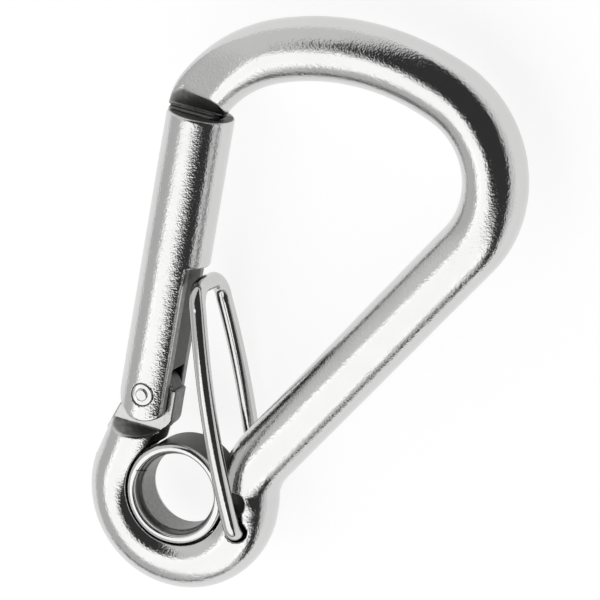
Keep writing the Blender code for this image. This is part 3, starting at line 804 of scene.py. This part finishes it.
def tumbled_steel(name, grain, depth, roughness, level, stretch):
    """Stainless steel with the fine dimples of tumbling; milled faces are rougher and darkened with
    painted shade, and hidden faces get painted shade.
    """
    made = bpy.data.materials.new(name)
    made.use_nodes = True
    tree = made.node_tree
    shader = tree.nodes["Principled BSDF"]
    coordinates = tree.nodes.new("ShaderNodeTexCoord").outputs["Object"]
    scaled = tree.nodes.new("ShaderNodeVectorMath")
    scaled.operation = "MULTIPLY"
    scaled.inputs[1].default_value = stretch
    tree.links.new(coordinates, scaled.inputs[0])
    where = scaled.outputs["Vector"]
    # the vertex grade of milled faces and of painted shade
    attribute = tree.nodes.new("ShaderNodeAttribute")
    attribute.attribute_name = "milled"
    milled = attribute.outputs["Fac"]
    fine = noise(tree, where, grain, 2.0)
    coarse = noise(tree, where, grain * COARSE_GRAIN, 2.0)
    cloud = noise(tree, where, CLOUD_SIZE, 4.0)
    tooling = noise(tree, where, TOOLING_SIZE, 5.0)
    height = mixed(tree, "FLOAT", remap(tree, cloud, (0.0, 1.0), (0.25, 0.55)), fine, coarse)
    bump = tree.nodes.new("ShaderNodeBump")
    bump.inputs["Distance"].default_value = depth * MM
    tree.links.new(height, bump.inputs["Height"])
    strength = remap(tree, milled, (0.0, 1.0), (1.0, MILLED_BUMP))
    tree.links.new(strength, bump.inputs["Strength"])
    tree.links.new(bump.outputs["Normal"], shader.inputs["Normal"])
    polished = mixed(tree, "RGBA", cloud, grey(level * 0.93), grey(level))
    # milled faces: darker colour, partly rough steel and partly painted shade
    dull_and_shaded = mixed(tree, "RGBA", tooling, grey(level * 0.15), grey(level * 0.55))
    # painted shade, near black, on hidden faces in recesses and between parts
    dark = mixed(tree, "RGBA", tooling, grey(0.012, 0.001), grey(0.07, 0.002))
    half_dull_and_shaded = mixed(tree, "RGBA", milled, polished, dull_and_shaded)
    painted_shade_share = remap(tree, milled, (1.0, FULL_SHADE_GRADE), (0.0, 1.0))
    tree.links.new(mixed(tree, "RGBA", painted_shade_share, half_dull_and_shaded, dark), shader.inputs["Base Color"])
    speckle = remap(tree, fine, (0.50, 0.68), (roughness, roughness + SPECKLE_ROUGHNESS))
    shine = mixed(tree, "FLOAT", milled, speckle, MILLED_ROUGHNESS)
    tree.links.new(shine, shader.inputs["Roughness"])
    shader.inputs["Metallic"].default_value = 1.0
    return made


# ---------------------------------------------------------------- floor, room, light and camera

def pale_floor():
    """Plain pale floor that gives off a little light, like a light table."""
    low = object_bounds()[0]
    bpy.ops.mesh.primitive_plane_add(size=FLOOR_SIZE, location=(0.0, 0.0, low[2] - FLOOR_GAP))
    floor = bpy.context.object
    floor.name = "floor"
    made = bpy.data.materials.new("floor_paper")
    made.use_nodes = True
    shader = made.node_tree.nodes["Principled BSDF"]
    shader.inputs["Base Color"].default_value = (FLOOR_GREY, FLOOR_GREY, FLOOR_GREY, 1.0)
    shader.inputs["Roughness"].default_value = FLOOR_ROUGHNESS
    shader.inputs["Emission Color"].default_value = (1.0, 1.0, 1.0, 1.0)
    shader.inputs["Emission Strength"].default_value = FLOOR_GLOW
    floor.data.materials.append(made)


def strip_softbox():
    """Long rectangular softbox overhead."""
    back = Vector(STRIP_TOWARDS).normalized()
    long_way = Vector(STRIP_LONG_WAY)
    across = (long_way - back * back.dot(long_way)).normalized()
    length, width = STRIP_SIZE
    lamp = bpy.data.lights.new("strip_box", "AREA")
    lamp.shape = "RECTANGLE"
    lamp.size = length
    lamp.size_y = width
    lamp.energy = STRIP_BRIGHTNESS * pi * length * width
    made = in_scene("strip_box", lamp)
    turn = Matrix((across, back.cross(across), back)).transposed()
    aim = Vector(ORIGIN + np.array(STRIP_AIM) * MM)
    made.matrix_world = Matrix.Translation(aim + back * STRIP_DISTANCE) @ turn.to_4x4()
    made.visible_camera = False


def room_map(tree):
    """Flat map of the room: how far a direction tips from straight up, in degrees, and which way."""
    view = tree.nodes.new("ShaderNodeTexCoord").outputs["Generated"]
    parts = tree.nodes.new("ShaderNodeSeparateXYZ")
    tree.links.new(view, parts.inputs["Vector"])
    tip = tree.nodes.new("ShaderNodeMath")
    tip.operation = "ARCCOSINE"
    tree.links.new(parts.outputs["Z"], tip.inputs[0])
    level = tree.nodes.new("ShaderNodeVectorMath")
    level.operation = "MULTIPLY"
    level.inputs[1].default_value = (degrees(1.0), degrees(1.0), 0.0)
    tree.links.new(view, level.inputs[0])
    way = tree.nodes.new("ShaderNodeVectorMath")
    way.operation = "NORMALIZE"
    tree.links.new(level.outputs["Vector"], way.inputs[0])
    spread = tree.nodes.new("ShaderNodeVectorMath")
    spread.operation = "SCALE"
    tree.links.new(way.outputs["Vector"], spread.inputs[0])
    angle = tree.nodes.new("ShaderNodeMath")
    angle.operation = "MULTIPLY"
    angle.inputs[1].default_value = degrees(1.0)
    tree.links.new(tip.outputs["Value"], angle.inputs[0])
    tree.links.new(angle.outputs["Value"], spread.inputs["Scale"])
    return spread.outputs["Vector"]


def beyond_edge(tree, spot, start, end, soft):
    """1 on the left of an edge of the room map, 0 on its right, with a soft border."""
    normal = Vector((start[1] - end[1], end[0] - start[0], 0.0)).normalized()
    offset = normal.dot(Vector((*start, 0.0)))
    dot = tree.nodes.new("ShaderNodeVectorMath")
    dot.operation = "DOT_PRODUCT"
    dot.inputs[1].default_value = normal
    tree.links.new(spot, dot.inputs[0])
    edge = tree.nodes.new("ShaderNodeMapRange")
    edge.interpolation_type = "SMOOTHSTEP"
    edge.inputs["From Min"].default_value = offset - soft
    edge.inputs["From Max"].default_value = offset + soft
    tree.links.new(dot.outputs["Value"], edge.inputs["Value"])
    return edge.outputs["Result"]


def room_patch(tree, spot, shade, level, soft, corners):
    """Repaint one convex patch of the room map, its corners given anticlockwise."""
    inside = None
    for start, end in zip(corners, corners[1:] + corners[:1]):
        beyond = beyond_edge(tree, spot, start, end, soft)
        if inside is None:
            inside = beyond
            continue
        both = tree.nodes.new("ShaderNodeMath")
        both.operation = "MULTIPLY"
        tree.links.new(inside, both.inputs[0])
        tree.links.new(beyond, both.inputs[1])
        inside = both.outputs["Value"]
    mix = tree.nodes.new("ShaderNodeMix")
    mix.data_type = "FLOAT"
    mix.inputs["B"].default_value = level
    tree.links.new(inside, mix.inputs["Factor"])
    if isinstance(shade, float):
        mix.inputs["A"].default_value = shade
    else:
        tree.links.new(shade, mix.inputs["A"])
    return mix.outputs["Result"]


def room():
    """White-walled room, dark behind the camera, that the steel mirrors."""
    world = bpy.data.worlds.new("studio")
    bpy.context.scene.world = world
    world.use_nodes = True
    tree = world.node_tree
    spot = room_map(tree)
    shade = ROOM_LEVEL
    for level, soft, corners in ROOM_PATCHES:
        shade = room_patch(tree, spot, shade, level, soft, corners)
    tree.links.new(shade, tree.nodes["Background"].inputs["Color"])


def camera():
    """Long lens from the bowl side, the crown's end and well above."""
    lens = bpy.data.cameras.new("camera")
    lens.lens = CAMERA_LENS
    lens.sensor_width = CAMERA_SENSOR
    lens.clip_start = 0.05
    lens.clip_end = 20.0
    made = in_scene("camera", lens)
    out = cos(CAMERA_ELEVATION)
    back = Vector((out * cos(CAMERA_AZIMUTH), out * sin(CAMERA_AZIMUTH), sin(CAMERA_ELEVATION)))
    level = Vector((-sin(CAMERA_AZIMUTH), cos(CAMERA_AZIMUTH), 0.0))
    right = level * cos(CAMERA_ROLL) + back.cross(level) * sin(CAMERA_ROLL)
    turn = Matrix((right, back.cross(right), back)).transposed()
    aim = Vector(ORIGIN + np.array(CAMERA_AIM) * MM)
    made.matrix_world = Matrix.Translation(aim + back * CAMERA_DISTANCE * MM) @ turn.to_4x4()
    bpy.context.scene.camera = made


# ---------------------------------------------------------------- pieces

def place(made, node, body, slot, looks):
    """Give a skin its steel and let it stand for its CAD node."""
    made.data.materials.append(tumbled_steel(slot + "_looks", *looks))
    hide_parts(node)
    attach(made, body)


def pieces():
    """Skin every node."""
    cell = BODY_CELL
    body = skin("hook_body_skin", body_field, BODY_BOX, cell, body_finish_and_shade)
    place(body, "hook_body", "hook", "bar_steel", BAR_LOOKS)
    gate = skin("gate_skin", gate_field, GATE_BOX, cell * GATE_CELL_SHARE, gate_finish_and_shade)
    place(gate, "gate", "gate", "gate_steel", GATE_LOOKS)
    ferrule = skin("eyelet_ferrule_skin", ferrule_field, FERRULE_BOX, cell * FERRULE_CELL_SHARE,
                   ferrule_finish_and_shade)
    place(ferrule, "eyelet_ferrule", "hook", "ferrule_steel", FERRULE_LOOKS)
    rivet = skin("gate_rivet_skin", rivet_field, RIVET_BOX, cell * RIVET_CELL_SHARE)
    place(rivet, "gate_rivet", "hook", "rivet_steel", RIVET_LOOKS)
    wire = swept_wire("latch_wire_skin", WIRE_RADIUS, WIRE_SIDES)
    place(wire, "latch_wire", "latch", "wire_steel", WIRE_LOOKS)


pieces()
pale_floor()
room()
strip_softbox()
camera()
bpy.context.scene.view_settings.view_transform = "Standard"
